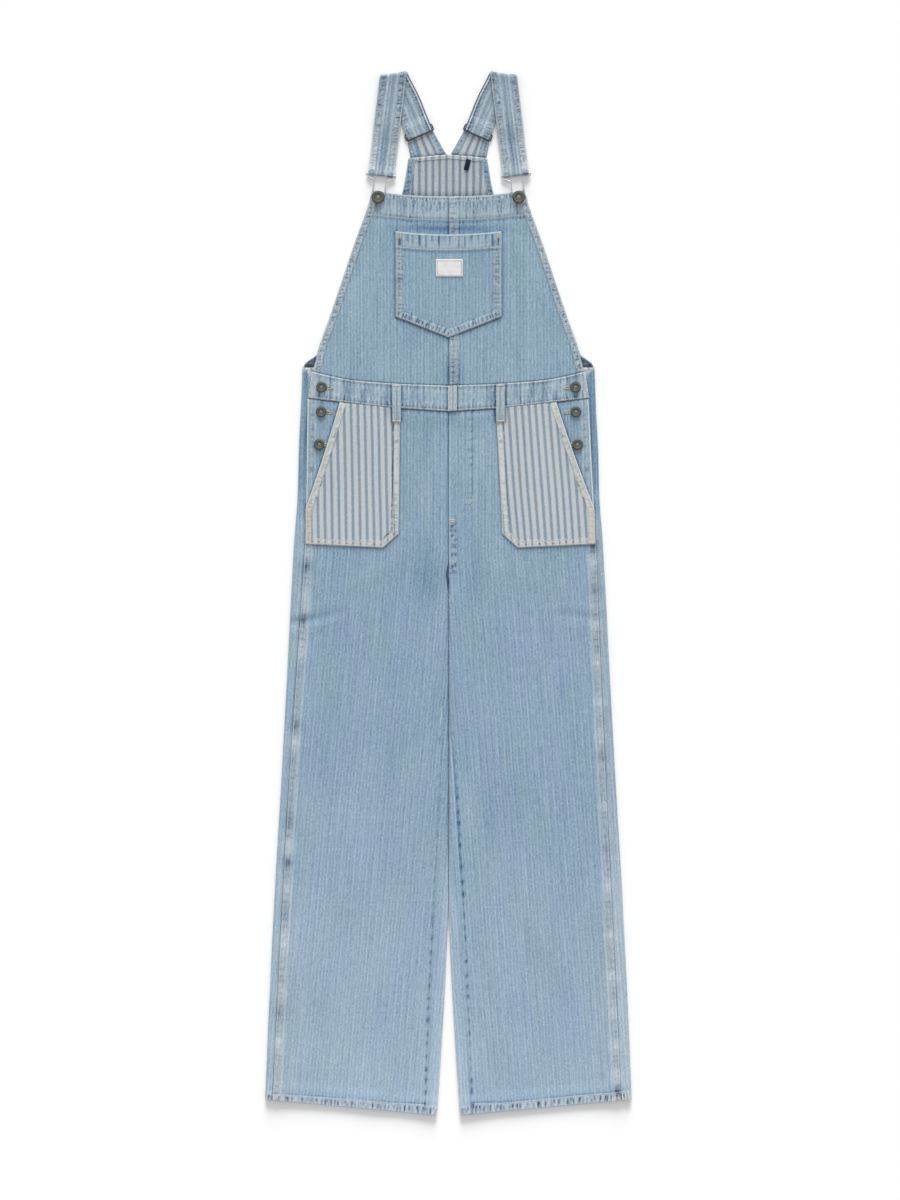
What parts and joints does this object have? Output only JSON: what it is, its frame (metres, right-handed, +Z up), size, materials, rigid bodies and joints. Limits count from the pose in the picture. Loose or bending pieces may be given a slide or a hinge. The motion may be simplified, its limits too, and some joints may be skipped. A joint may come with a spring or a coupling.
{
  "type": "denim dungarees",
  "caption": "Light blue denim dungarees with wide straight legs, striped patch pockets, bib and buckled straps, lying flat on their back.",
  "frame": {"origin": "on the ground under the middle of the garment's outline", "axes": "+Y towards the shoulder straps, +Z up out of the garment's front, -X the wearer's right side"},
  "size_m": [0.5312, 1.5142, 0.0107],
  "materials": {
    "denim": "light washed twill with a faint woven stripe",
    "striped_reverse": "pale reverse of the denim with blue stripes",
    "white_patch": "plain woven",
    "navy_tab": "plain woven",
    "antique_bronze": "dark antique",
    "silver_wire": "satin"
  },
  "bodies": {
    "root": {"front_right": "denim", "front_left": "denim", "back_right": "denim", "back_left": "denim", "waistband": "denim", "bib_right": "denim", "bib_left": "denim", "back_bib": "striped_reverse", "bib_pocket": "denim", "pocket_label": "white_patch", "hip_pocket_right": "striped_reverse", "hip_pocket_left": "striped_reverse", "belt_loop_right": "denim", "belt_loop_left": "denim", "centre_loop": "denim", "strap_right": "denim", "strap_left": "denim", "strap_tail_right": "striped_reverse", "strap_tail_left": "striped_reverse", "back_tab": "navy_tab", "slider_right": "antique_bronze", "slider_left": "antique_bronze", "hook_right": "silver_wire", "hook_left": "silver_wire", "bib_button_right": "antique_bronze", "bib_button_left": "antique_bronze", "waist_button_right": "antique_bronze", "waist_button_left": "antique_bronze", "side_button_upper_right": "antique_bronze", "side_button_upper_left": "antique_bronze", "side_button_lower_right": "antique_bronze", "side_button_lower_left": "antique_bronze"}
  },
  "joints": []
}
